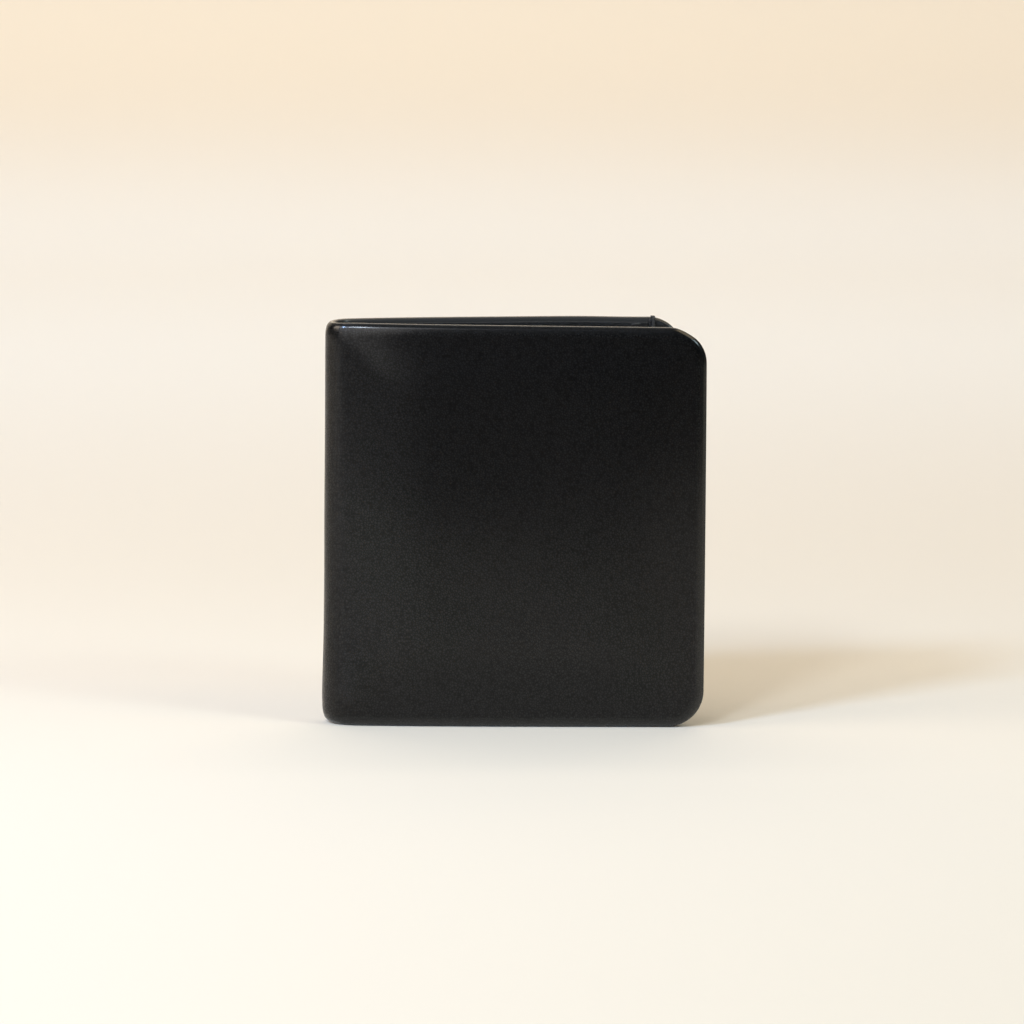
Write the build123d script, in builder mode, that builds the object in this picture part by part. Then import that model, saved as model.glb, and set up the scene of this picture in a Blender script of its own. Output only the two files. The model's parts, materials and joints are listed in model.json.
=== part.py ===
"""Bifold wallet: a leather cover folded round a soft spine, with a card-pocket unit in each half.

The frame: +Z runs up along the fold, +X from the fold to the free edges, -Y is the front cover's side.
Each half is laid out in its closed place, then swung open about its fold line to the resting angle.
"""

import os
from math import atan2, degrees

from build123d import *

# Driving dimensions, in millimetres and degrees
HEIGHT = 101.0
FRONT_REACH = 47.6  # x of the front cover's free edge when closed
REAR_REACH = 44.8  # the rear cover is a little shorter
SPINE_BACK = -47.5  # x of the spine's outermost line
THICKNESS = 13.0  # closed, over both covers
REST_ANGLE = 3.5  # each half stands open by this much
CORNER_RADIUS = 9.0
FRONT_TOP_DROP = 0.6  # the front cover's top edge falls by this much towards its free edge

LEATHER = 1.2
REINFORCEMENT = 0.5
LINING = 0.7
NOTE_GAP = 0.8  # clear depth of the banknote compartment
INNER_WALL = 1.0
POCKET = 0.6
LAYER_GAP = 0.05  # air between loose layers
RIM = 1.2  # width of the leather turned over the cover's edges
EDGE_STEP = 0.4  # the inner layers stop this far inside the cover's edge
FACING_HEIGHT = 9.0
SIDE_BORDER = 9.0
BOTTOM_BORDER = 6.0
INNER_WALL_TOP = 95.0
INNER_WALL_START = 4.0  # from the start of the flat cover to the inner wall's edge
SEAM_GAP = 0.8  # degrees of air on each side of the line where a half meets the spine

POCKET_TOPS = {"upper": 74.0, "middle": 62.0, "lower": 50.0}
POCKET_DROP = 46.0  # each pocket's leather reaches this far down from its top
POCKET_SIDE_MARGIN = 5.5

STITCH_PITCH = 3.2
STITCH_LENGTH = 2.3
STITCH_WIDTH = 0.5
STITCH_HEIGHT = 0.15
EDGE_SEAM_INSET = 3.2
POCKET_SEAM_INSET = 1.6
SEAM_END = 0.5
BAR_TACK_LENGTH = 4.0
BAR_TACK_WIDTH = 1.1

# Worked out from the driving dimensions
FOLD_RADIUS = THICKNESS / 2
FOLD_X = SPINE_BACK + FOLD_RADIUS  # the spine's centre line, where the flat covers start
SHELL = LEATHER + REINFORCEMENT + LINING
FOLD_LINE = FOLD_RADIUS * 3.1416 / 4  # a half turns about (FOLD_X - FOLD_LINE, side * FOLD_LINE)
WALL_DEPTH = SHELL + NOTE_GAP
WALL_FACE = WALL_DEPTH + INNER_WALL

HALVES = {"rear": 1, "front": -1}
REACH = {"rear": REAR_REACH, "front": FRONT_REACH}
TOP_DROP = {"rear": 0.0, "front": FRONT_TOP_DROP}


def swing(side):
    """Turn of one half about its fold line, from closed to the resting angle."""
    return Pos(FOLD_X - FOLD_LINE, side * FOLD_LINE, 0) * Rot(0, 0, side * REST_ANGLE)


def layer_plane(half, depth):
    """Plane 'depth' below a cover's outer face. Local X is the closed x and local Y is the height."""
    side = HALVES[half]
    origin = (FOLD_LINE - FOLD_X, side * (FOLD_RADIUS - depth - FOLD_LINE), 0)
    closed = Plane(origin=origin, x_dir=(1, 0, 0), z_dir=(0, -1, 0))
    return Plane(swing(side) * closed.location)


def fold_plane(half, height):
    """Level plane centred on the spine's centre line, swung with its half."""
    side = HALVES[half]
    return Plane(swing(side) * Pos(FOLD_LINE, -side * FOLD_LINE, height))


def cover_outline(half, inset=0.0, start=FOLD_X):
    """Outline of a half, moved in by 'inset' at the bottom, the free edge and the top."""
    reach = REACH[half] - inset
    top = HEIGHT - inset
    with BuildLine() as outline:
        edge = FilletPolyline(
            (start, inset),
            (reach, inset),
            (reach, top - TOP_DROP[half]),
            (start, top),
            radius=CORNER_RADIUS - inset,
        )
        Line(edge @ 1, edge @ 0)
    make_face(outline.line.edges())


def curved_layer(inner, outer, half=None):
    """Plan of a layer round the spine: an eighth of a turn on a half, or a quarter on the spine."""
    reach = 45 - SEAM_GAP
    start, span = {"rear": (90, reach), "front": (270 - reach, reach), None: (180 - reach, 2 * reach)}[half]
    with BuildLine() as plan:
        outer_arc = CenterArc((0, 0), outer, start, span)
        inner_arc = CenterArc((0, 0), inner, start, span)
        Line(outer_arc @ 0, inner_arc @ 0)
        Line(outer_arc @ 1, inner_arc @ 1)
    make_face(plan.line.edges())


def rectangle(left, right, bottom, top, mode=Mode.ADD):
    """Rectangle given by its four sides."""
    with Locations(((left + right) / 2, (bottom + top) / 2)):
        Rectangle(right - left, top - bottom, mode=mode)


def stitches(path):
    """Threads lying end to end along a seam."""
    count = round(path.length / STITCH_PITCH)
    for index in range(count):
        place = (index + 0.5) / count
        spot = path @ place
        heading = path % place
        turn = degrees(atan2(heading.Y, heading.X))
        with Locations(Location((spot.X, spot.Y, 0), (0, 0, turn))):
            SlotOverall(STITCH_LENGTH, STITCH_WIDTH)


def save(part, name):
    """Label a finished piece and write its file."""
    part.label = name
    export_step(part, f"parts/{name}.step")


def make_outer_leather(half):
    """Cover leather: a shallow tray whose rim is the leather turned over the edge."""
    side = HALVES[half]
    with BuildPart() as leather:
        with BuildSketch(layer_plane(half, 0)):
            cover_outline(half)
        extrude(amount=side * SHELL)
        with BuildSketch(fold_plane(half, 0)):
            curved_layer(FOLD_RADIUS - SHELL, FOLD_RADIUS, half)
        extrude(amount=HEIGHT)
        with BuildSketch(layer_plane(half, LEATHER)):
            cover_outline(half, RIM)
        extrude(amount=side * (SHELL - LEATHER), mode=Mode.SUBTRACT)
        with BuildSketch(fold_plane(half, RIM)):
            curved_layer(FOLD_RADIUS - SHELL, FOLD_RADIUS - LEATHER, half)
        extrude(amount=HEIGHT - 2 * RIM, mode=Mode.SUBTRACT)
    save(leather.part, f"{half}_outer_leather")


def make_shell_layer(half, kind, depth, thickness):
    """A sheet inside the cover's rim that carries on round its share of the fold."""
    side = HALVES[half]
    with BuildPart() as sheet:
        with BuildSketch(layer_plane(half, depth)):
            cover_outline(half, RIM)
        extrude(amount=side * thickness)
        with BuildSketch(fold_plane(half, RIM)):
            curved_layer(FOLD_RADIUS - depth - thickness, FOLD_RADIUS - depth, half)
        extrude(amount=HEIGHT - 2 * RIM)
    save(sheet.part, f"{half}_{kind}")


def make_spine():
    """The three layers of the spine: leather turned over at both ends, reinforcement and lining."""
    with BuildPart() as leather:
        with BuildSketch(Plane((FOLD_X, 0, 0))):
            curved_layer(FOLD_RADIUS - SHELL, FOLD_RADIUS)
        extrude(amount=HEIGHT)
        with BuildSketch(Plane((FOLD_X, 0, RIM))):
            curved_layer(FOLD_RADIUS - SHELL, FOLD_RADIUS - LEATHER)
        extrude(amount=HEIGHT - 2 * RIM, mode=Mode.SUBTRACT)
    save(leather.part, "spine_outer_leather")

    sheets = {"reinforcement": (LEATHER, REINFORCEMENT), "lining": (LEATHER + REINFORCEMENT, LINING)}
    for kind, (depth, thickness) in sheets.items():
        with BuildPart() as sheet:
            with BuildSketch(Plane((FOLD_X, 0, RIM))):
                curved_layer(FOLD_RADIUS - depth - thickness, FOLD_RADIUS - depth)
            extrude(amount=HEIGHT - 2 * RIM)
        save(sheet.part, f"spine_{kind}")


def make_note_compartment(half):
    """Facing under the top edge, the two borders that space the seam, and the inner wall on them."""
    side = HALVES[half]
    border_edge = REACH[half] - SIDE_BORDER
    with BuildPart() as facing:
        with BuildSketch(layer_plane(half, SHELL)):
            top = HEIGHT - RIM - TOP_DROP[half]
            rectangle(FOLD_X, border_edge - LAYER_GAP, top - FACING_HEIGHT, top)
        extrude(amount=side * (NOTE_GAP - 2 * LAYER_GAP))
    save(facing.part, f"{half}_top_facing")

    with BuildPart() as side_border:
        with BuildSketch(layer_plane(half, SHELL)):
            cover_outline(half, EDGE_STEP)
            rectangle(FOLD_X, border_edge, 0, HEIGHT, mode=Mode.SUBTRACT)
        extrude(amount=side * NOTE_GAP)
    save(side_border.part, f"{half}_side_border")

    with BuildPart() as bottom_border:
        with BuildSketch(layer_plane(half, SHELL)):
            rectangle(FOLD_X + INNER_WALL_START, border_edge, EDGE_STEP, BOTTOM_BORDER)
        extrude(amount=side * NOTE_GAP)
    save(bottom_border.part, f"{half}_bottom_border")

    with BuildPart() as wall:
        with BuildSketch(layer_plane(half, WALL_DEPTH)):
            cover_outline(half, EDGE_STEP, FOLD_X + INNER_WALL_START)
            rectangle(FOLD_X, REACH[half], INNER_WALL_TOP, HEIGHT, mode=Mode.SUBTRACT)
        extrude(amount=side * INNER_WALL)
    save(wall.part, f"{half}_inner_wall")


def make_pockets(half):
    """Three stepped card pockets, the upper one lying deepest, with seams down both their sides."""
    side = HALVES[half]
    left = FOLD_X + INNER_WALL_START + POCKET_SIDE_MARGIN
    right = REACH[half] - POCKET_SIDE_MARGIN
    faces = {}
    for order, (name, top) in enumerate(POCKET_TOPS.items()):
        depth = WALL_FACE + LAYER_GAP + order * (POCKET + LAYER_GAP)
        faces[name] = depth + POCKET
        with BuildPart() as pocket:
            with BuildSketch(layer_plane(half, depth)):
                rectangle(left, right, top - POCKET_DROP, top)
            extrude(amount=side * POCKET)
        save(pocket.part, f"{half}_card_pocket_{name}")

    # Each stretch of seam lies on the pocket that shows at that height
    ends = [*POCKET_TOPS.values(), POCKET_TOPS["lower"] - POCKET_DROP]
    columns = (left + POCKET_SEAM_INSET, right - POCKET_SEAM_INSET)
    seam_lines = {
        name: [Line((x, low + SEAM_END), (x, high - SEAM_END)) for x in columns]
        for name, high, low in zip(POCKET_TOPS, ends, ends[1:])
    }
    with BuildPart() as seams:
        for name, lines in seam_lines.items():
            with BuildSketch(layer_plane(half, faces[name])):
                for line in lines:
                    stitches(line)
            extrude(amount=side * STITCH_HEIGHT)
    save(seams.part, f"{half}_pocket_stitching")


def make_edge_stitching(half):
    """The seam round the bottom and free edge, and the bar tack that ends the border at the top."""
    side = HALVES[half]
    reach = REACH[half] - EDGE_SEAM_INSET
    start = FOLD_X + INNER_WALL_START + EDGE_SEAM_INSET
    path = FilletPolyline(
        (start, EDGE_SEAM_INSET),
        (reach, EDGE_SEAM_INSET),
        (reach, INNER_WALL_TOP - EDGE_SEAM_INSET),
        radius=CORNER_RADIUS - EDGE_SEAM_INSET,
    )
    with BuildPart() as seam:
        with BuildSketch(layer_plane(half, WALL_FACE)):
            stitches(path)
        extrude(amount=side * STITCH_HEIGHT)
    save(seam.part, f"{half}_edge_stitching")

    with BuildPart() as tack:
        with BuildSketch(layer_plane(half, WALL_DEPTH)):
            top = HEIGHT - RIM - TOP_DROP[half]
            with Locations((REACH[half] - SIDE_BORDER + BAR_TACK_WIDTH, top - BAR_TACK_LENGTH / 2)):
                SlotOverall(BAR_TACK_LENGTH, BAR_TACK_WIDTH, rotation=90)
        extrude(amount=side * 2 * STITCH_HEIGHT)
    save(tack.part, f"{half}_bar_tack")


def main():
    os.makedirs("parts", exist_ok=True)
    make_spine()
    for half in HALVES:
        make_outer_leather(half)
        make_shell_layer(half, "reinforcement", LEATHER, REINFORCEMENT)
        make_shell_layer(half, "lining", LEATHER + REINFORCEMENT, LINING)
        make_note_compartment(half)
        make_pockets(half)
        make_edge_stitching(half)


main()
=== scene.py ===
import json
import math

import bpy
from mathutils import Matrix, Vector, noise


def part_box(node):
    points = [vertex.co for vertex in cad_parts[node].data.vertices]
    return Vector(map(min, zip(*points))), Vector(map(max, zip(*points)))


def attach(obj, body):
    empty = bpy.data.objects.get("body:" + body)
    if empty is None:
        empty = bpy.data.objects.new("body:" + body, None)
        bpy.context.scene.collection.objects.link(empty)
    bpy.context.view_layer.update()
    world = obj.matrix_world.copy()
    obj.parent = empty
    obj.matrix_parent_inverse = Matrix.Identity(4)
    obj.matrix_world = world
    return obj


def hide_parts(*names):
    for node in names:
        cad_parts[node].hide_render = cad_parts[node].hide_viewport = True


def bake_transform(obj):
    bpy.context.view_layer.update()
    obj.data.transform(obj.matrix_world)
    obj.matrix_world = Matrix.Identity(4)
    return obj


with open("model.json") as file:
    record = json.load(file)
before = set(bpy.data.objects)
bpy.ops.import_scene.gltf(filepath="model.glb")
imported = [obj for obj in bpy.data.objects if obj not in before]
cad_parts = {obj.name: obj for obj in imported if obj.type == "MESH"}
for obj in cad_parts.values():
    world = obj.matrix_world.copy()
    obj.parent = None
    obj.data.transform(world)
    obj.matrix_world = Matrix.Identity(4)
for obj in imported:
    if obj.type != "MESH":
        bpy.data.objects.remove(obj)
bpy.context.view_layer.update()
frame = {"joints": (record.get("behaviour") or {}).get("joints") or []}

# ---------------------------------------------------------------- sizes, in metres

MM = 0.001
HALVES = {"rear": 1, "front": -1}

LEATHER = 1.2 * MM
REINFORCEMENT = 0.5 * MM
LINING = 0.7 * MM
SHELL = LEATHER + REINFORCEMENT + LINING
NOTE_GAP = 0.8 * MM
INNER_WALL = 1.0 * MM
POCKET = 0.6 * MM
LAYER_GAP = 0.05 * MM
CORNER = 9.0 * MM
RIM = 1.2 * MM
EDGE_STEP = 0.4 * MM
FACING_HEIGHT = 9.0 * MM
SIDE_BORDER = 9.0 * MM
BOTTOM_BORDER = 6.0 * MM
INNER_WALL_START = 4.0 * MM
POCKET_SIDE_MARGIN = 5.5 * MM
STITCH_PITCH = 3.2 * MM
FOLD_END = 13 * MM
FINE_STEP = 0.5 * MM
SHEET_STEP = 2 * MM
SOFT_EDGE = 0.2 * MM
PRESSED_LINE = 1.75 * MM
PRESSED_HALF_WIDTH = 0.35 * MM
PRESSED_DEPTH = 0.13 * MM

# Places worked out from the frame
fold = frame["joints"][0]
FOLD_LINE_X, FOLD_LINE_Y = fold["pos_m"][0], abs(fold["pos_m"][1])
REST_SWING = -math.radians(fold["range_deg"][0])
SPINE_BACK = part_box("spine_outer_leather")[0].x
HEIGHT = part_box("spine_outer_leather")[1].z
FOLD_RADIUS = 4 * FOLD_LINE_Y / math.pi
FOLD_X = SPINE_BACK + FOLD_RADIUS
QUARTER = math.pi / 2 * FOLD_RADIUS
INNER_WALL_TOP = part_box("rear_inner_wall")[1].z
POCKET_NAMES = ("upper", "middle", "lower")
POCKET_SPANS = [tuple(corner.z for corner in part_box(f"rear_card_pocket_{name}")) for name in POCKET_NAMES]


def closed_reach(half):
    """How far a half's leather runs from the spine's middle line to its free edge."""
    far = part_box(f"{half}_outer_leather")[1].x
    inner_face = FOLD_RADIUS - SHELL - FOLD_LINE_Y
    along = (far - FOLD_LINE_X + inner_face * math.sin(REST_SWING)) / math.cos(REST_SWING)
    return QUARTER + FOLD_LINE_X + along - FOLD_X


REACH = {half: closed_reach(half) for half in HALVES}


# ---------------------------------------------------------------- working on a mesh

def smooth(share):
    """Eases 0 to 1."""
    share = min(1.0, max(0.0, share))
    return share * share * (3 - 2 * share)


def bell(place, centre, width):
    """A soft hump, 1 at its centre."""
    return math.exp(-(((place - centre) / width) ** 2))


def only(piece):
    """Makes a piece the one selected and active object."""
    bpy.ops.object.select_all(action="DESELECT")
    piece.select_set(True)
    bpy.context.view_layer.objects.active = piece


def pick(piece, kind, test):
    """Selects the vertices, edges or faces that pass a test, and nothing else."""
    mesh = piece.data
    for group in (mesh.vertices, mesh.edges, mesh.polygons):
        group.foreach_set("select", [False] * len(group))
    group = {"VERT": mesh.vertices, "EDGE": mesh.edges, "FACE": mesh.polygons}[kind]
    for element in group:
        element.select = bool(test(element))
    only(piece)
    bpy.context.tool_settings.mesh_select_mode = (kind == "VERT", kind == "EDGE", kind == "FACE")
    bpy.ops.object.mode_set(mode="EDIT")


def leave_edit():
    bpy.ops.object.mode_set(mode="OBJECT")


def modify(piece, kind, **settings):
    """Adds a modifier and applies it."""
    only(piece)
    bpy.ops.object.modifier_add(type=kind)
    modifier = piece.modifiers[-1]
    for name, value in settings.items():
        setattr(modifier, name, value)
    bpy.ops.object.modifier_apply(modifier=modifier.name)


def rulings(marks, step):
    """Places of a grid's lines: every mark, and between marks lines about a step apart."""
    places = [marks[0]]
    for low, high in zip(marks, marks[1:]):
        count = max(1, round((high - low) / step))
        places += [low + (high - low) * (i + 1) / count for i in range(count)]
    return places


# ---------------------------------------------------------------- flat pieces
# Every piece is cut and built lying flat: X runs round the wallet from the spine's middle line,
# Y is the depth below the cover's outer face, and Z is the height.

def round_corner(u, z, right, low, high, low_radius, high_radius):
    """Moves a grid point into place where the free edge's two corners are rounded."""
    for radius, b, sign in ((low_radius, low + low_radius - z, -1), (high_radius, z - high + high_radius, 1)):
        a = u - right + radius
        if radius and a > 0 and b > 0:
            reach = max(a, b)
            turn = math.pi / 4 * min(a, b) / reach
            turn = turn if a >= b else math.pi / 2 - turn
            middle = low + low_radius if sign < 0 else high - high_radius
            return right - radius + reach * math.cos(turn), middle + sign * reach * math.sin(turn)
    return u, z


def cut_blank(name, across, up, depth, thickness, low_radius=0.0, high_radius=0.0):
    """A flat piece with its thickness, cut on a grid of lines, with its free corners rounded."""
    columns, rows = len(across) - 1, len(up) - 1
    bpy.ops.mesh.primitive_grid_add(x_subdivisions=columns, y_subdivisions=rows, size=2, calc_uvs=False)
    piece = bpy.context.object
    piece.name = name
    for vertex in piece.data.vertices:
        u = across[round((vertex.co.x + 1) / 2 * columns)]
        z = up[round((vertex.co.y + 1) / 2 * rows)]
        u, z = round_corner(u, z, across[-1], up[0], up[-1], low_radius, high_radius)
        vertex.co = (u, depth, z)
    modify(piece, "SOLIDIFY", thickness=thickness, offset=-1)
    return piece


def soften(piece, width, segments=3):
    """Rounds the sharp edges of a small leather piece."""
    modify(
        piece,
        "BEVEL",
        width=width,
        segments=segments,
        limit_method="ANGLE",
        angle_limit=math.radians(60),
        use_clamp_overlap=False,
    )


def cut_at_middle(piece):
    """Cuts a piece off square at the spine's middle line, where the other half's piece meets it."""
    pick(piece, "FACE", lambda face: True)
    bpy.ops.mesh.bisect(plane_co=(0, 0, 0), plane_no=(1, 0, 0), use_fill=True, clear_inner=True)
    leave_edit()


def edge_distance(u, z, half):
    """How far a point on a cover lies inside the cover's outline."""
    right, top = REACH[half], HEIGHT
    a = u - right + CORNER
    b = max(CORNER - z, z - top + CORNER)
    if a > 0 and b > 0:
        return CORNER - math.hypot(a, b)
    return min(right - u, z, top - z)


def lay_flat_map(piece, half):
    """Keeps each point's place on the uncut sheet as a UV map, and its distance from the cover's edge."""
    mesh = piece.data
    flat = mesh.uv_layers.new(name="flat")
    for loop in mesh.loops:
        place = mesh.vertices[loop.vertex_index].co
        flat.data[loop.index].uv = (place.x, place.z)
    edge = mesh.attributes.new("edge", "FLOAT", "POINT")
    # The 'turned' value marks the inner face of the turned rim, which the cover leather paints much lighter
    # as painted light.
    turned = mesh.attributes.new("turned", "FLOAT", "POINT")
    for vertex in mesh.vertices:
        u, depth, height = vertex.co
        edge.data[vertex.index].value = edge_distance(u, height, half)
        turned.data[vertex.index].value = smooth((depth - SHELL + 0.4 * MM) / (0.35 * MM))


# How each half's leather turns round the fold: a tight part, then a long soft run-out, and at the
# far end a slight turn back in. Lengths are in metres round the leather from the spine's middle.
FOLDS = {
    "rear": {"tight": 10.2 * MM, "soft_share": 0.28, "soft_run": 11 * MM, "turn_in": math.radians(5.5)},
    "front": {"tight": 8.1 * MM, "soft_share": 0.30, "soft_run": 11 * MM, "turn_in": 0.0},
}
PATH_STEP = 0.1 * MM


def heading(u, half):
    """Direction of the leather at a place: 0 across the spine, near a quarter turn along the half."""
    shape = FOLDS[half]
    tight = (1 - shape["soft_share"]) * max(0.0, 1 - u / shape["tight"])
    soft = shape["soft_share"] * math.exp(-u / shape["soft_run"])
    turned = math.pi / 2 * (1 - tight - soft) + shape["turn_in"] * smooth((u - 52 * MM) / (40 * MM))
    return turned * (math.pi / 2 - REST_SWING) / (math.pi / 2)


def fold_path(half):
    """Places of the cover's outer face every step round the leather, from the spine's middle line."""
    x, y, path = SPINE_BACK + 0.25 * MM, 0.0, []
    for i in range(round((REACH[half] + 2 * MM) / PATH_STEP) + 1):
        path.append((x, y))
        turn = heading((i + 0.5) * PATH_STEP, half)
        x += PATH_STEP * math.sin(turn)
        y += PATH_STEP * math.cos(turn)
    return path


PATHS = {half: fold_path(half) for half in HALVES}


def top_rise(u, half):
    """How much the top edge stands over or under the nominal height along the leather."""
    if half == "rear":
        return 0.18 * MM * smooth(u / (9 * MM)) - 0.22 * MM * smooth((u - 66 * MM) / (18 * MM))
    along = max(0.0, u - QUARTER) / (REACH[half] - QUARTER)
    dip = 0.42 * MM * bell(u, 93.5 * MM, 2.6 * MM)
    return 0.30 * MM * smooth(u / (12 * MM)) - 0.6 * MM * along - dip


def wrapped(place, half):
    """Where a point of the flat piece comes to lie on the standing wallet."""
    u, depth, height = place
    share = max(0.0, height) / HEIGHT
    narrower = 0.0060 + 0.0045 * share ** 2 if half == "front" else 0.0035 + 0.001 * share ** 2
    u -= max(0.0, u - QUARTER) * narrower
    flare = smooth(1 - height / (26 * MM)) * smooth((height + 3 * MM) / (11 * MM))
    depth -= flare * (0.4 + 0.9 * bell(u, 9 * MM, 5 * MM)) * MM * smooth(1 - (u - 14 * MM) / (12 * MM))
    step = min(max(0.0, u) / PATH_STEP, len(PATHS[half]) - 1.001)
    (x0, y0), (x1, y1) = PATHS[half][int(step)], PATHS[half][int(step) + 1]
    between = step - int(step)
    turn = heading(max(0.0, u), half)
    x = x0 + (x1 - x0) * between + depth * math.cos(turn)
    y = y0 + (y1 - y0) * between - depth * math.sin(turn)
    lift = 0.24 * MM * max(0.0, u - QUARTER) / (REACH[half] - QUARTER) * smooth(1 - height / (30 * MM))
    rise = top_rise(u, half) * share ** 2 + (lift if half == "front" else 0.0)
    return x, HALVES[half] * y, height + rise


def wrap(piece, half):
    """Folds a flat piece round the spine and swings its half to the resting angle."""
    lay_flat_map(piece, half)
    for vertex in piece.data.vertices:
        vertex.co = wrapped(vertex.co, half)
    if HALVES[half] > 0:
        pick(piece, "FACE", lambda face: True)
        bpy.ops.mesh.flip_normals()
        leave_edit()
    only(piece)
    bpy.ops.object.shade_smooth_by_angle(angle=math.radians(38))
    return piece


def bend_with_fold(piece, half):
    """Works out where the piece's half meets the spine, which is not used, and bakes the piece's transform
    into its mesh.
    """
    root_x, root_y, _ = wrapped((FOLD_END, 0, HEIGHT / 2), half)
    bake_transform(piece)


def finish_piece(piece, half, material, nodes, bends=False):
    """Gives a wrapped piece its material and, unless it bends, its body, and hides the CAD nodes it stands
    for.
    """
    piece.data.materials.clear()
    piece.data.materials.append(material)
    if bends:
        bend_with_fold(piece, half)
    else:
        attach(piece, f"{half}_half")
    if nodes:
        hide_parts(*nodes)


# ---------------------------------------------------------------- shader groups

def new_group(name, inputs, outputs):
    """An empty shader node group with named inputs and outputs."""
    group = bpy.data.node_groups.new(name, "ShaderNodeTree")
    for label, kind, value in inputs:
        socket = group.interface.new_socket(label, in_out="INPUT", socket_type=kind)
        if value is not None:
            socket.default_value = value
    for label, kind in outputs:
        group.interface.new_socket(label, in_out="OUTPUT", socket_type=kind)
    return group, group.nodes.new("NodeGroupInput"), group.nodes.new("NodeGroupOutput")


def node(tree, kind, settings=None, **inputs):
    """Adds a node. Inputs are values or sockets to link from."""
    made = tree.nodes.new(kind)
    for name, value in (settings or {}).items():
        setattr(made, name, value)
    for name, value in inputs.items():
        key = int(name[1:]) if name[0] == "_" and name[1:].isdigit() else name.replace("_", " ")
        if isinstance(value, bpy.types.NodeSocket):
            tree.links.new(value, made.inputs[key])
        else:
            made.inputs[key].default_value = value
    return made


def maths(tree, operation, a, b=0.0, c=0.0):
    """One sum; its result socket."""
    return node(tree, "ShaderNodeMath", {"operation": operation}, _0=a, _1=b, _2=c).outputs[0]


def ramp(tree, value, from_low, from_high, to_low=0.0, to_high=1.0):
    """Eased change of range."""
    made = node(
        tree,
        "ShaderNodeMapRange",
        {"interpolation_type": "SMOOTHSTEP"},
        Value=value,
        From_Min=from_low,
        From_Max=from_high,
        To_Min=to_low,
        To_Max=to_high,
    )
    return made.outputs["Result"]


def make_grain_group():
    """Leather grain: small pebbles parted by fine creases, finer pores, and slow changes of polish."""
    group, given, out = new_group(
        "leather_grain",
        [("Place", "NodeSocketVector", None), ("Pebbles per metre", "NodeSocketFloat", 1800.0)],
        [("Height", "NodeSocketFloat"), ("Pebble", "NodeSocketFloat"), ("Polish", "NodeSocketFloat")],
    )
    place = given.outputs["Place"]
    wander = node(group, "ShaderNodeTexNoise", Vector=place, Scale=900.0, Detail=2.0)
    shift = node(group, "ShaderNodeVectorMath", {"operation": "MULTIPLY_ADD"}, _0=wander.outputs["Color"])
    shift.inputs[1].default_value = (0.0006, 0.0006, 0.0006)
    group.links.new(place, shift.inputs[2])
    pebbles = node(
        group,
        "ShaderNodeTexVoronoi",
        {"feature": "DISTANCE_TO_EDGE"},
        Vector=shift.outputs[0],
        Scale=given.outputs["Pebbles per metre"],
    )
    pebble = ramp(group, pebbles.outputs["Distance"], 0.02, 0.28)
    pores = node(group, "ShaderNodeTexNoise", Vector=place, Scale=5200.0, Detail=2.0, Roughness=0.6)
    swell = node(group, "ShaderNodeTexNoise", Vector=place, Scale=460.0, Detail=3.0)
    height = maths(group, "MULTIPLY", pebble, 0.8)
    height = maths(group, "MULTIPLY_ADD", pores.outputs[0], 0.35, height)
    height = maths(group, "MULTIPLY_ADD", swell.outputs[0], 1.1, height)
    group.links.new(height, out.inputs["Height"])
    group.links.new(pebble, out.inputs["Pebble"])
    group.links.new(ramp(group, swell.outputs[0], 0.25, 0.75), out.inputs["Polish"])
    return group


def new_material(name, base, roughness, **settings):
    """A material with one Principled BSDF. Settings are constants on its own sockets."""
    material = bpy.data.materials.new(name)
    material.use_nodes = True
    tree = material.node_tree
    shader = tree.nodes["Principled BSDF"]
    shader.inputs["Base Color"].default_value = (*base, 1.0)
    shader.inputs["Roughness"].default_value = roughness
    for label, value in settings.items():
        shader.inputs[label.replace("_", " ")].default_value = value
    material.diffuse_color = (*base, 1.0)
    return material, tree, shader


def add_group(tree, group, **inputs):
    """Places a node group in a material."""
    made = tree.nodes.new("ShaderNodeGroup")
    made.node_tree = group
    for name, value in inputs.items():
        key = name.replace("_", " ")
        if isinstance(value, bpy.types.NodeSocket):
            tree.links.new(value, made.inputs[key])
        else:
            made.inputs[key].default_value = value
    return made


def blend_colours(tree, factor, first, second):
    """Mixes two colours."""
    made = node(tree, "ShaderNodeMix", {"data_type": "RGBA"})
    for label, value in (("Factor", factor), ("A", first), ("B", second)):
        sockets = [s for s in made.inputs if s.name == label and s.enabled]
        if isinstance(value, bpy.types.NodeSocket):
            tree.links.new(value, sockets[0])
        else:
            sockets[0].default_value = value
    return next(s for s in made.outputs if s.enabled)


def bump(tree, shader, height, distance, strength=1.0):
    """Raises the surface by a height in 0 to 1 times a distance."""
    made = node(tree, "ShaderNodeBump", Height=height, Distance=distance, Strength=strength)
    tree.links.new(made.outputs["Normal"], shader.inputs["Normal"])


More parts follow.
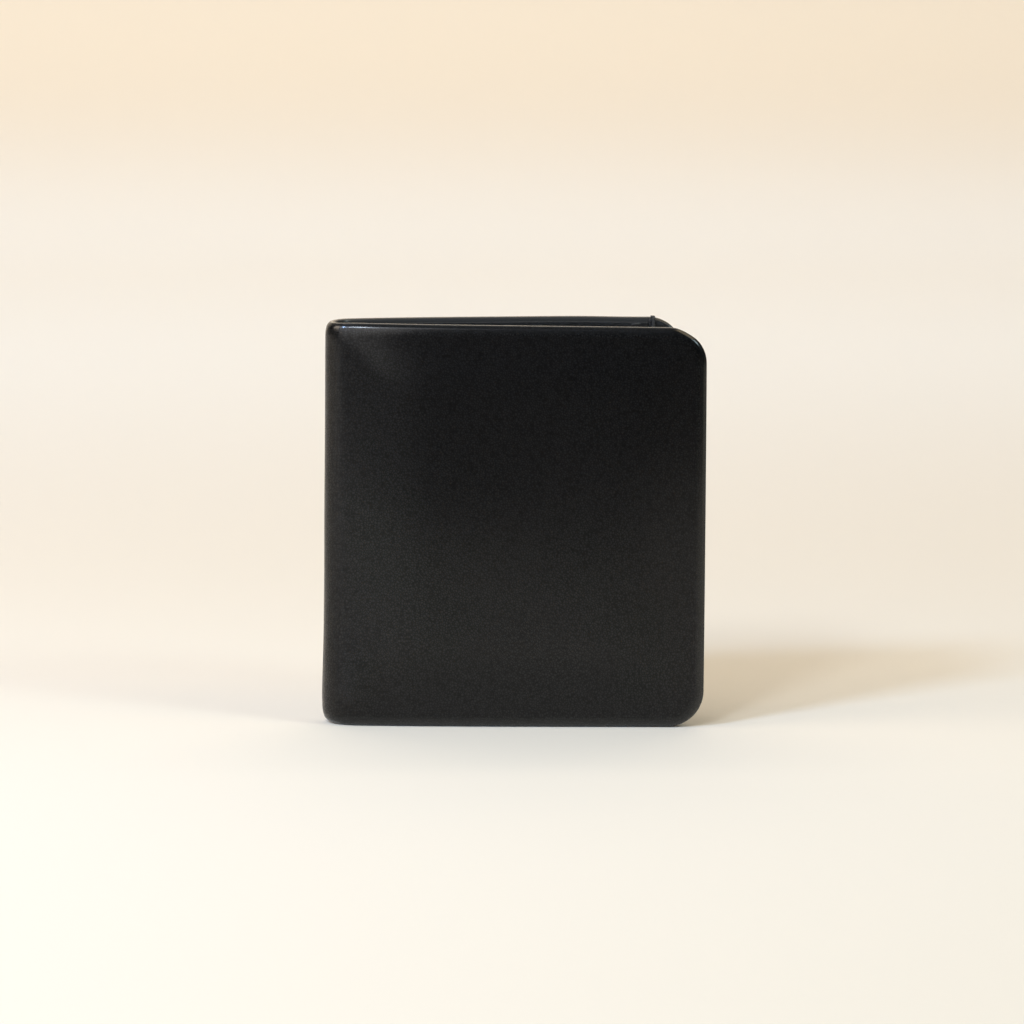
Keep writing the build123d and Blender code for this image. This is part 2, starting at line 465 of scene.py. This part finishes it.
def make_cover_leather(grain):
    """Smooth black coated leather, rubbed and polished along its edges, with a painted highlight in its
    colour along the outline and painted light on the inside of the turned rim.
    """
    material, tree, shader = new_material(
        "cover_leather",
        (0.0035, 0.0035, 0.0038),
        0.3,
        Coat_Weight=0.5,
        Coat_Roughness=0.18,
        Specular_IOR_Level=0.08,
    )
    place = tree.nodes.new("ShaderNodeTexCoord").outputs["Object"]
    surface = add_group(tree, grain, Place=place, Pebbles_per_metre=1650.0)
    pebble = surface.outputs["Pebble"]
    edge = node(tree, "ShaderNodeAttribute", {"attribute_name": "edge"}).outputs["Fac"]
    # Rubbed wear and painted highlight: within 1.3 mm of the outline the colour is painted lighter, partly
    # standing in for light caught along the rim's crest; the same mask lowers roughness there.
    edge_wear_and_painted_highlight = ramp(tree, edge, 0.0, 1.3 * MM, 1.0, 0.0)
    polished = ramp(tree, edge, 0.6 * MM, 3.2 * MM, 1.0, 0.0)

    # Short creases run across the fold, where the leather is bent round the spine
    split = node(tree, "ShaderNodeSeparateXYZ", Vector=place)
    near_fold = ramp(tree, split.outputs["X"], FOLD_X + 12 * MM, FOLD_X - 2 * MM, 0.0, 1.0)
    stretched = node(tree, "ShaderNodeMapping", Vector=place, Scale=(300.0, 300.0, 1500.0))
    across_fold = stretched.outputs[0]
    wrinkle = node(tree, "ShaderNodeTexNoise", Vector=across_fold, Scale=1.0, Detail=3.0, Distortion=0.5)
    wrinkles = maths(tree, "MULTIPLY", wrinkle.outputs[0], near_fold)
    lines = maths(tree, "MULTIPLY", ramp(tree, wrinkle.outputs[0], 0.50, 0.38), near_fold)
    raised = maths(tree, "MULTIPLY_ADD", lines, -0.3, pebble)

    shine = maths(tree, "MULTIPLY_ADD", raised, 0.24, 0.36)
    tree.links.new(maths(tree, "MULTIPLY_ADD", polished, 0.5, shine), shader.inputs["Coat Weight"])
    tone = blend_colours(tree, raised, (0.0003, 0.0003, 0.0003, 1), (0.0058, 0.0056, 0.0055, 1))
    # Painted highlight along the outline, partly rubbed wear: the tone is blended lighter there.
    tone = blend_colours(tree, maths(tree, "MULTIPLY", edge_wear_and_painted_highlight, 0.6), tone, (0.0098, 0.0097, 0.0094, 1))
    # Painted light: the inner face of the turned rim is given a far lighter colour, standing in for light
    # that face catches.
    turned = node(tree, "ShaderNodeAttribute", {"attribute_name": "turned"}).outputs["Fac"]
    colour = blend_colours(tree, turned, tone, (0.036, 0.0345, 0.032, 1))
    tree.links.new(colour, shader.inputs["Base Color"])
    roughness = maths(tree, "MULTIPLY_ADD", surface.outputs["Polish"], 0.06, 0.41)
    roughness = maths(tree, "MULTIPLY_ADD", pebble, -0.06, roughness)
    tree.links.new(maths(tree, "MULTIPLY_ADD", edge_wear_and_painted_highlight, -0.05, roughness), shader.inputs["Roughness"])
    height = maths(tree, "MULTIPLY_ADD", wrinkles, 0.8, surface.outputs["Height"])
    bump(tree, shader, height, 0.035 * MM)
    return material


def make_inner_leather(grain):
    """Softer, more matt black leather of the pockets and strips."""
    material, tree, shader = new_material(
        "inner_leather",
        (0.007, 0.0068, 0.0068),
        0.45,
        Coat_Weight=0.1,
        Coat_Roughness=0.35,
        Specular_IOR_Level=0.35,
    )
    place = tree.nodes.new("ShaderNodeTexCoord").outputs["Object"]
    surface = add_group(tree, grain, Place=place, Pebbles_per_metre=1500.0)
    pebble = surface.outputs["Pebble"]
    tone = blend_colours(tree, pebble, (0.0035, 0.0034, 0.0034, 1), (0.0095, 0.0092, 0.009, 1))
    tree.links.new(tone, shader.inputs["Base Color"])
    roughness = maths(tree, "MULTIPLY_ADD", surface.outputs["Polish"], 0.1, 0.46)
    tree.links.new(maths(tree, "MULTIPLY_ADD", pebble, -0.08, roughness), shader.inputs["Roughness"])
    bump(tree, shader, surface.outputs["Height"], 0.06 * MM)
    return material


def make_lining_cloth():
    """Closely woven black cloth, its threads following the sheet."""
    material, tree, shader = new_material(
        "lining_cloth", (0.014, 0.0135, 0.013), 0.75, Sheen_Weight=0.25, Sheen_Roughness=0.4
    )
    flat = node(tree, "ShaderNodeUVMap", {"uv_map": "flat"}).outputs["UV"]
    threads = []
    for direction in ("X", "Y"):
        wave = node(
            tree,
            "ShaderNodeTexWave",
            {"wave_type": "BANDS", "bands_direction": direction},
            Vector=flat,
            Scale=900.0,
            Distortion=0.4,
            Detail=1.0,
        )
        threads.append(wave.outputs["Fac"])
    weave = maths(tree, "MAXIMUM", threads[0], maths(tree, "MULTIPLY", threads[1], 0.85))
    colour = blend_colours(tree, weave, (0.006, 0.0058, 0.0056, 1), (0.02, 0.0193, 0.0187, 1))
    tree.links.new(colour, shader.inputs["Base Color"])
    tree.links.new(maths(tree, "MULTIPLY_ADD", weave, -0.12, 0.82), shader.inputs["Roughness"])
    bump(tree, shader, weave, 0.06 * MM, 0.8)
    return material


def make_thread():
    """Waxed black sewing thread with a visible twist."""
    material, tree, shader = new_material("waxed_thread", (0.02, 0.0195, 0.019), 0.45)
    place = tree.nodes.new("ShaderNodeTexCoord").outputs["Object"]
    turned = node(tree, "ShaderNodeMapping", Vector=place, Rotation=(0.6, 0.7, 0.8))
    twist = node(
        tree,
        "ShaderNodeTexWave",
        {"wave_type": "BANDS"},
        Vector=turned.outputs[0],
        Scale=1400.0,
        Distortion=0.6,
    )
    colour = blend_colours(tree, twist.outputs["Fac"], (0.012, 0.0116, 0.0112, 1), (0.034, 0.033, 0.032, 1))
    tree.links.new(colour, shader.inputs["Base Color"])
    tree.links.new(maths(tree, "MULTIPLY_ADD", twist.outputs["Fac"], -0.1, 0.5), shader.inputs["Roughness"])
    bump(tree, shader, twist.outputs["Fac"], 0.05 * MM, 0.8)
    return material


def make_pressed_fibre():
    """Pressed fibre sheet between leather and lining."""
    material, tree, shader = new_material("pressed_fibre", (0.35, 0.31, 0.26), 0.9)
    place = tree.nodes.new("ShaderNodeTexCoord").outputs["Object"]
    fibres = node(tree, "ShaderNodeTexNoise", Vector=place, Scale=1500.0, Detail=5.0, Distortion=1.5)
    colour = blend_colours(tree, fibres.outputs[0], (0.27, 0.235, 0.19, 1), (0.43, 0.39, 0.33, 1))
    tree.links.new(colour, shader.inputs["Base Color"])
    tree.links.new(maths(tree, "MULTIPLY_ADD", fibres.outputs[0], 0.1, 0.85), shader.inputs["Roughness"])
    bump(tree, shader, fibres.outputs[0], 0.08 * MM, 0.7)
    return material


grain = make_grain_group()
COVER_LEATHER = make_cover_leather(grain)
INNER_LEATHER = make_inner_leather(grain)
LINING_CLOTH = make_lining_cloth()
THREAD = make_thread()
PRESSED_FIBRE = make_pressed_fibre()


# ---------------------------------------------------------------- the covers

def crown(u, z, half):
    """How far the padded outer face stands proud at a place on the cover."""
    inside = edge_distance(u, z, half)
    run = (4 + 14 * smooth((u / MM - 4) / 20)) * MM
    full = (0.1 + 0.25 * smooth(u / (20 * MM))) * MM * smooth(inside / run)

    # The filling sags: the face is fullest low down and thins towards the top
    low_belly = smooth(z / (23 * MM)) * (1 - 0.92 * max(0.0, z - 15 * MM) / (HEIGHT - 15 * MM))
    sideways = smooth((u - 6 * MM) / (24 * MM)) * smooth((REACH[half] - u) / (26 * MM))
    belly = 1.9 * MM * low_belly * sideways * smooth((HEIGHT - z) / (14 * MM))

    drift = 0.10 * MM * noise.noise(Vector((u * 28, z * 28, HALVES[half] * 3.0))) * smooth(inside / (10 * MM))
    low_down = smooth(1 - z / (42 * MM))
    column = 0.35 * MM * bell(u, QUARTER + 1.5 * MM, 4.5 * MM) * low_down
    crease = 0.12 * MM * bell(u, QUARTER + 7.5 * MM, 2.2 * MM) * low_down * smooth(inside / (3 * MM))
    return full + belly + drift + column - crease


def spine_lift(u, z):
    """The fold pulls the leather's bottom edge up a little at the back of the spine."""
    across = max(0.0, 1 - (u / (8 * MM)) ** 2)
    return 0.5 * MM * across * smooth(1 - z / (10 * MM))


def round_outline(piece, half, depth, width, segments):
    """Rounds the cover's outline at one face: outer at depth 0, inner at the shell's depth."""
    mesh = piece.data

    def on_outline(edge):
        for index in edge.vertices:
            place = mesh.vertices[index].co
            if abs(place.y - depth) > 0.01 * MM or edge_distance(place.x, place.z, half) > 0.02 * MM:
                return False
        return True

    pick(piece, "EDGE", on_outline)
    bpy.ops.mesh.bevel(offset=width, segments=segments, profile=0.5, affect="EDGES", clamp_overlap=False)
    leave_edit()


def make_cover(half):
    """Cover leather with its turned-over rim, from the spine's middle line to the free edge."""
    right = REACH[half]
    across = rulings([-2 * MM, FOLD_END], FINE_STEP)
    near_edge = [place * MM for place in (1.65, 2.1, 2.6, 3.2)]
    far_marks = [right - CORNER] + [right - place for place in reversed(near_edge)] + [right - RIM, right]
    across += rulings([FOLD_END, *far_marks], 1 * MM)[1:]
    low_marks = [0, RIM, *near_edge, CORNER]
    up = rulings(low_marks + [HEIGHT - place for place in reversed(low_marks)], 1 * MM)
    cover = cut_blank(f"{half}_cover", across, up, 0, SHELL, CORNER, CORNER)

    pick(
        cover,
        "FACE",
        lambda face: abs(face.center.y - SHELL) < 0.01 * MM
        and edge_distance(face.center.x, face.center.z, half) > RIM,
    )
    bpy.ops.mesh.extrude_region_move(TRANSFORM_OT_translate={"value": (0, LEATHER - SHELL, 0)})
    leave_edit()
    round_outline(cover, half, 0, 1.0 * MM, 6)
    round_outline(cover, half, SHELL, 0.7 * MM, 4)

    cut_at_middle(cover)
    for vertex in cover.data.vertices:
        u, depth, z = vertex.co
        outer = smooth(1 - depth / LEATHER)
        roll = 0.55 * MM * max(0.0, 1 - edge_distance(u, z, half) / (3 * MM)) ** 2
        vertex.co = (u, depth + outer * (roll - crown(u, z, half)), z + spine_lift(u, z))
    wrap(cover, half)
    nodes = [f"{half}_outer_leather"] + (["spine_outer_leather"] if half == "front" else [])
    finish_piece(cover, half, COVER_LEATHER, nodes, bends=True)
    return cover


def make_inside_sheet(half, kind, depth, thickness, material):
    """A sheet held inside the cover's rim, from the spine's middle line to the free edge."""
    right = REACH[half] - RIM
    radius = CORNER - RIM
    across = rulings([0, FOLD_END], FINE_STEP) + rulings([FOLD_END, right - radius, right], SHEET_STEP)[1:]
    up = rulings([RIM, CORNER, HEIGHT - CORNER, HEIGHT - RIM], SHEET_STEP)
    sheet = cut_blank(f"{half}_{kind}", across, up, depth, thickness, radius, radius)
    for vertex in sheet.data.vertices:
        vertex.co.z += spine_lift(vertex.co.x, vertex.co.z)
    wrap(sheet, half)
    cad = kind.replace("_sheet", "").replace("_cloth", "")
    nodes = [f"{half}_{cad}"] + ([f"spine_{cad}"] if half == "front" else [])
    finish_piece(sheet, half, material, nodes, bends=True)
    return sheet


def make_facing(half):
    """Leather strip under the top edge, running on round the spine."""
    top = HEIGHT - RIM
    border_edge = REACH[half] - SIDE_BORDER - LAYER_GAP
    across = rulings([-1 * MM, FOLD_END], FINE_STEP) + rulings([FOLD_END, border_edge], SHEET_STEP)[1:]
    bottom = top - FACING_HEIGHT
    up = rulings([bottom, bottom + FINE_STEP, top - FINE_STEP, top], 1 * MM)
    facing = cut_blank(f"{half}_facing", across, up, SHELL, NOTE_GAP - 2 * LAYER_GAP)
    soften(facing, SOFT_EDGE)
    cut_at_middle(facing)
    for vertex in facing.data.vertices:
        vertex.co.z += spine_lift(vertex.co.x, vertex.co.z)
    wrap(facing, half)
    finish_piece(facing, half, INNER_LEATHER, [f"{half}_top_facing"], bends=True)


def make_borders(half):
    """Side and bottom strips that space the seam of the note compartment."""
    right, top = REACH[half] - EDGE_STEP, HEIGHT - EDGE_STEP
    radius = CORNER - EDGE_STEP
    left = REACH[half] - SIDE_BORDER
    across = rulings([left, right], 0.9 * MM)
    up = rulings([EDGE_STEP, EDGE_STEP + radius, top - radius, top], 0.9 * MM)
    side = cut_blank(f"{half}_side_strip", across, up, SHELL, NOTE_GAP, radius, radius)
    soften(side, SOFT_EDGE)
    wrap(side, half)
    finish_piece(side, half, INNER_LEATHER, [f"{half}_side_border"])

    across = rulings([QUARTER + INNER_WALL_START, left], SHEET_STEP)
    up = rulings([EDGE_STEP, BOTTOM_BORDER], 1 * MM)
    bottom = cut_blank(f"{half}_bottom_strip", across, up, SHELL, NOTE_GAP)
    soften(bottom, SOFT_EDGE)
    wrap(bottom, half)
    finish_piece(bottom, half, INNER_LEATHER, [f"{half}_bottom_border"])


# ---------------------------------------------------------------- the pocket units

def press_crease(piece, line, face_depth):
    """Presses a fine line into the leather's shown face, along its top edge."""
    for vertex in piece.data.vertices:
        if abs(vertex.co.z - line) < 0.05 * MM and abs(vertex.co.y - face_depth) < 0.02 * MM:
            vertex.co.y -= PRESSED_DEPTH


def crease_marks(top):
    """Grid lines for a pressed line below a top edge."""
    line = top - PRESSED_LINE
    return [line - PRESSED_HALF_WIDTH, line, line + PRESSED_HALF_WIDTH, top]


def make_inner_wall(half):
    """Leather wall between the note compartment and the card pockets."""
    right, bottom = REACH[half] - EDGE_STEP, EDGE_STEP
    radius, small = CORNER - EDGE_STEP, 3 * MM
    across = rulings([QUARTER + INNER_WALL_START, right - radius, right - small, right], 1 * MM)
    up = rulings([bottom, bottom + small, bottom + radius, INNER_WALL_TOP - small, INNER_WALL_TOP], 1 * MM)
    wall = cut_blank(f"{half}_pocket_wall", across, up, SHELL + NOTE_GAP, INNER_WALL, radius, small)
    soften(wall, 0.3 * MM, 4)
    wrap(wall, half)
    finish_piece(wall, half, INNER_LEATHER, [f"{half}_inner_wall"])


def make_pockets(half):
    """Three stepped card pockets with a pressed line under each mouth."""
    left = QUARTER + INNER_WALL_START + POCKET_SIDE_MARGIN
    right = REACH[half] - POCKET_SIDE_MARGIN
    faces = []
    for order, (name, (bottom, top)) in enumerate(zip(POCKET_NAMES, POCKET_SPANS)):
        depth = SHELL + NOTE_GAP + INNER_WALL + LAYER_GAP + order * (POCKET + LAYER_GAP)
        faces.append(depth + POCKET)
        across = rulings([left, left + 1 * MM, right - 1 * MM, right], 2 * MM)
        up = rulings([bottom, bottom + 1 * MM, *crease_marks(top)], 2 * MM)
        pocket = cut_blank(f"{half}_pocket_{name}", across, up, depth, POCKET)
        press_crease(pocket, top - PRESSED_LINE, depth + POCKET)
        soften(pocket, SOFT_EDGE)
        wrap(pocket, half)
        finish_piece(pocket, half, INNER_LEATHER, [f"{half}_card_pocket_{name}"])
    return left, right, faces


# ---------------------------------------------------------------- seams

def make_stitch():
    """One thread between two holes: a thin rod that dips at both ends."""
    bpy.ops.mesh.primitive_uv_sphere_add(segments=8, ring_count=7, radius=1)
    stitch = bpy.context.object
    half_length, half_thick, half_wide = 1.2 * MM, 0.2 * MM, 0.26 * MM
    for vertex in stitch.data.vertices:
        along, out, side = vertex.co.z, vertex.co.y, vertex.co.x
        full = (1 - along ** 4) ** 0.5 if abs(along) < 1 else 0.0
        slim = full / max(0.001, math.sqrt(max(1e-9, 1 - along * along))) if abs(along) < 0.999 else 0.0
        dip = -0.14 * MM * along * along
        vertex.co = (along * half_length, out * slim * half_thick + dip, side * slim * half_wide)
    only(stitch)
    bpy.ops.object.shade_smooth()
    return stitch


def sew(name, half, stitch, runs, nodes):
    """Copies a stitch along runs of (u, z, heading, depth) places and joins them into one seam."""
    copies = []
    for u, z, heading, depth in runs:
        copy = stitch.copy()
        copy.data = stitch.data.copy()
        bpy.context.scene.collection.objects.link(copy)
        slant = heading + math.radians(5)
        for vertex in copy.data.vertices:
            along, out, side = vertex.co
            vertex.co = (
                u + along * math.cos(slant) - side * math.sin(slant),
                depth + out,
                z + along * math.sin(slant) + side * math.cos(slant),
            )
        copies.append(copy)
    only(copies[0])
    for copy in copies:
        copy.select_set(True)
    bpy.ops.object.join()
    seam = bpy.context.object
    seam.name = name
    wrap(seam, half)
    only(seam)
    bpy.ops.object.shade_smooth()
    finish_piece(seam, half, THREAD, nodes)


def straight_run(start, end, depth):
    """Evenly spaced stitch places from start to end."""
    length = math.dist(start, end)
    heading = math.atan2(end[1] - start[1], end[0] - start[0])
    count = round(length / STITCH_PITCH)
    return [
        (*(a + (b - a) * (i + 0.5) / count for a, b in zip(start, end)), heading, depth) for i in range(count)
    ]


def corner_run(centre, radius, depth):
    """Stitch places round the free bottom corner."""
    count = round(radius * math.pi / 2 / STITCH_PITCH)
    turns = [-math.pi / 2 + math.pi / 2 * (i + 0.5) / count for i in range(count)]
    return [
        (centre[0] + radius * math.cos(turn), centre[1] + radius * math.sin(turn), turn + math.pi / 2, depth)
        for turn in turns
    ]


def make_seams(half, stitch, pocket_left, pocket_right, pocket_faces):
    """The edge seam of the pocket unit, and the seams down the pockets' sides."""
    inset = 3.2 * MM
    face = SHELL + NOTE_GAP + INNER_WALL + 0.08 * MM
    right = REACH[half] - inset
    radius = CORNER - inset
    start = QUARTER + INNER_WALL_START + inset
    runs = straight_run((start, inset), (right - radius, inset), face)
    runs += corner_run((right - radius, inset + radius), radius, face)
    runs += straight_run((right, inset + radius), (right, INNER_WALL_TOP - inset), face)
    sew(f"{half}_edge_seam", half, stitch, runs, [f"{half}_edge_stitching"])

    ends = [top for _, top in POCKET_SPANS] + [POCKET_SPANS[-1][0]]
    runs = []
    for depth, high, low in zip(pocket_faces, ends, ends[1:]):
        for u in (pocket_left + 1.6 * MM, pocket_right - 1.6 * MM):
            runs += straight_run((u, low + 0.5 * MM), (u, high - 0.5 * MM), depth + 0.06 * MM)
    sew(f"{half}_pocket_seam", half, stitch, runs, [f"{half}_pocket_stitching"])


def make_end_stitch(stitch):
    """The one stitch that shows on the rear facing, where the rim's seam ends beside the bar tack."""
    place = (REACH["rear"] - SIDE_BORDER - 3.2 * MM, HEIGHT - RIM - 0.5 * MM, 0.0, SHELL + NOTE_GAP)
    sew("rear_end_stitch", "rear", stitch, [place], [])


def make_bar_tack(half):
    """Close zigzag of thread that ends the side strip. The rear one passes over the cover's rim."""
    centre = REACH[half] - SIDE_BORDER + 1.2 * MM
    surface = SHELL + NOTE_GAP + 0.12 * MM
    low = 96.4 * MM
    high = HEIGHT + 0.15 * MM if half == "rear" else HEIGHT - 1.0 * MM
    over = 1.7 * MM if half == "rear" else 0.0
    steps, reach, climb_from, half_width = 28, 0.8, 0.72, 0.6 * MM
    points = []
    for i in range(steps + 1):
        share = i / steps
        z = low + (high - low) * min(1.0, share / reach)
        depth = surface - max(0.0, share - climb_from) / (1 - climb_from) * over
        points.append((centre + (half_width if i % 2 else -half_width), depth, z))
    curve = bpy.data.curves.new(f"{half}_tack_thread", "CURVE")
    curve.dimensions = "3D"
    curve.bevel_depth = 0.2 * MM  # the thread's radius
    curve.bevel_resolution = 2
    spline = curve.splines.new("NURBS")
    spline.points.add(len(points) - 1)
    for point, place in zip(spline.points, points):
        point.co = (*place, 1.0)
    spline.order_u = 3
    spline.use_endpoint_u = True
    spline.resolution_u = 4
    curve.use_fill_caps = True
    tack = bpy.data.objects.new(f"{half}_tack", curve)
    bpy.context.scene.collection.objects.link(tack)
    only(tack)
    bpy.ops.object.convert(target="MESH")
    tack = bpy.context.object
    wrap(tack, half)
    finish_piece(tack, half, THREAD, [f"{half}_bar_tack"])


# ---------------------------------------------------------------- building

stitch = make_stitch()
for half in HALVES:
    make_cover(half)
    make_inside_sheet(half, "reinforcement_sheet", LEATHER, REINFORCEMENT, PRESSED_FIBRE)
    lining = make_inside_sheet(half, "lining_cloth", LEATHER + REINFORCEMENT, LINING, LINING_CLOTH)
    make_facing(half)
    make_borders(half)
    make_inner_wall(half)
    make_seams(half, stitch, *make_pockets(half))
    make_bar_tack(half)
make_end_stitch(stitch)
bpy.data.objects.remove(stitch)


# ---------------------------------------------------------------- stage, light and camera

def make_backdrop():
    """Cream paper that runs from under the wallet up into the background in one curve, with light and shade
    painted into its colour.
    """
    bpy.ops.mesh.primitive_plane_add(size=1)
    paper = bpy.context.object
    paper.name = "backdrop"
    front, back, wide, bend, tall = -0.44, 1.1, 2.6, 0.55, 2.4
    for vertex in paper.data.vertices:
        vertex.co = (vertex.co.x * 2 * wide, front if vertex.co.y < 0 else back, 0)
    pick(paper, "EDGE", lambda edge: all(paper.data.vertices[i].co.y > 0 for i in edge.vertices))
    turns = 16
    for i in range(turns):
        low, high = (math.pi / 2 * (i + share) / turns for share in (0, 1))
        rise = bend * (math.cos(low) - math.cos(high))
        run = bend * (math.sin(high) - math.sin(low))
        bpy.ops.mesh.extrude_region_move(TRANSFORM_OT_translate={"value": (0, run, rise)})
    bpy.ops.mesh.extrude_region_move(TRANSFORM_OT_translate={"value": (0, 0, tall)})
    leave_edit()
    only(paper)
    bpy.ops.object.shade_smooth()
    material, tree, shader = new_material("cream_paper", (0.9, 0.84, 0.72), 0.9, Specular_IOR_Level=0.2)
    place = tree.nodes.new("ShaderNodeTexCoord").outputs["Object"]
    tooth = node(tree, "ShaderNodeTexNoise", Vector=place, Scale=700.0, Detail=4.0)
    split = node(tree, "ShaderNodeSeparateXYZ", Vector=place)
    # Painted shade: the floor's colour darkens towards its front edge, standing in for the light falling off
    # there.
    lower = blend_colours(
        tree, ramp(tree, split.outputs["Y"], -0.02, -0.42), (0.825, 0.745, 0.63, 1), (0.745, 0.655, 0.53, 1)
    )
    rising = ramp(tree, split.outputs["Z"], 0.0, 0.09)
    level = maths(tree, "SUBTRACT", 1.0, rising)
    # Painted light: far back on the floor, before it rises, the paper is painted paler and whiter.
    far_floor_painted_light = maths(tree, "MULTIPLY", ramp(tree, split.outputs["Y"], 0.2, 0.9), level)
    lower = blend_colours(tree, far_floor_painted_light, lower, (0.90, 0.885, 0.84, 1))
    # The rising part of the paper takes a warmer tone.
    colour = blend_colours(tree, rising, lower, (0.90, 0.805, 0.66, 1))
    tree.links.new(colour, shader.inputs["Base Color"])
    bump(tree, shader, tooth.outputs[0], 0.05 * MM, 0.4)
    paper.data.materials.append(material)


def add_softbox(name, place, aim, size, power, colour):
    """A square studio light that points at a place."""
    light = bpy.data.lights.new(name, "AREA")
    light.shape = "RECTANGLE"
    light.size, light.size_y = size
    light.energy = power
    light.color = colour
    lamp = bpy.data.objects.new(name, light)
    lamp.location = place
    lamp.rotation_euler = (Vector(aim) - Vector(place)).to_track_quat("-Z", "Y").to_euler()
    bpy.context.scene.collection.objects.link(lamp)
    return lamp


def add_camera():
    """Long lens, a little above the wallet and turned a few degrees towards its free edges."""
    yaw, pitch, roll = (math.radians(angle) for angle in (5.69, 8.12, 0.53))
    forward = Vector((math.sin(yaw) * math.cos(pitch), math.cos(yaw) * math.cos(pitch), -math.sin(pitch)))
    level = Vector((math.cos(yaw), -math.sin(yaw), 0))
    upright = level.cross(forward)
    right = math.cos(roll) * level + math.sin(roll) * upright
    up = math.cos(roll) * upright - math.sin(roll) * level
    data = bpy.data.cameras.new("camera")
    data.lens = 210.2
    data.sensor_width = 36
    data.clip_end = 20
    camera = bpy.data.objects.new("camera", data)
    target = Vector((-0.22 * MM, 0, 52.95 * MM))
    distance = 1.5
    place = target - forward * distance
    camera.matrix_world = Matrix.Translation(place) @ Matrix((right, up, -forward)).transposed().to_4x4()
    bpy.context.scene.collection.objects.link(camera)
    bpy.context.scene.camera = camera


def light_studio():
    """Soft boxes on both sides, one large light overhead, and light on the paper behind."""
    middle = Vector((0, 0, 0.05))
    away = 1.3
    # Name, degrees round from the front, degrees up, size in metres, power in watts, colour
    side_boxes = (
        ("key_softbox", -47, 37, 0.22, 10.5, (0.41, 0.64, 1.0)),
        ("front_left_softbox", -25, 36, 0.18, 4.2, (0.74, 0.86, 1.0)),
        ("left_panel", -36, 24, 1.2, 7.6, (1.0, 0.95, 0.91)),
        ("far_left_softbox", -80, 30, 0.6, 5.6, (1.0, 0.86, 0.70)),
        ("right_softbox", 54, 34, 0.25, 2.8, (0.72, 0.95, 1.0)),
        ("high_right_softbox", 60, 55, 0.5, 2.2, (1.0, 0.80, 0.50)),
    )
    for name, around, above, size, power, colour in side_boxes:
        around, above = math.radians(around), math.radians(above)
        level = away * math.cos(above)
        place = middle + Vector((level * math.sin(around), -level * math.cos(around), away * math.sin(above)))
        add_softbox(name, place, middle, (size, size), power, colour)
    add_softbox("overhead_light", (0, 0.3, 1.6), (0, 0.15, 0), (1.6, 1.2), 6.6, (1.0, 0.98, 0.93))
    add_softbox("paper_light", (0, 0.9, 1.6), (0, 2.2, 0.2), (2.4, 0.8), 16.2, (1.0, 0.905, 0.82))


def make_surroundings():
    """A dim room that shows as plain pale paper where the camera looks past the backdrop."""
    world = bpy.data.worlds.new("studio")
    bpy.context.scene.world = world
    world.use_nodes = True
    tree = world.node_tree
    seen = tree.nodes.new("ShaderNodeLightPath").outputs["Is Camera Ray"]
    colour = blend_colours(tree, seen, (0.012, 0.0115, 0.011, 1), (0.92, 0.85, 0.72, 1))
    tree.links.new(colour, tree.nodes["Background"].inputs["Color"])


make_backdrop()
light_studio()
make_surroundings()
bpy.context.scene.view_settings.view_transform = "Standard"
add_camera()
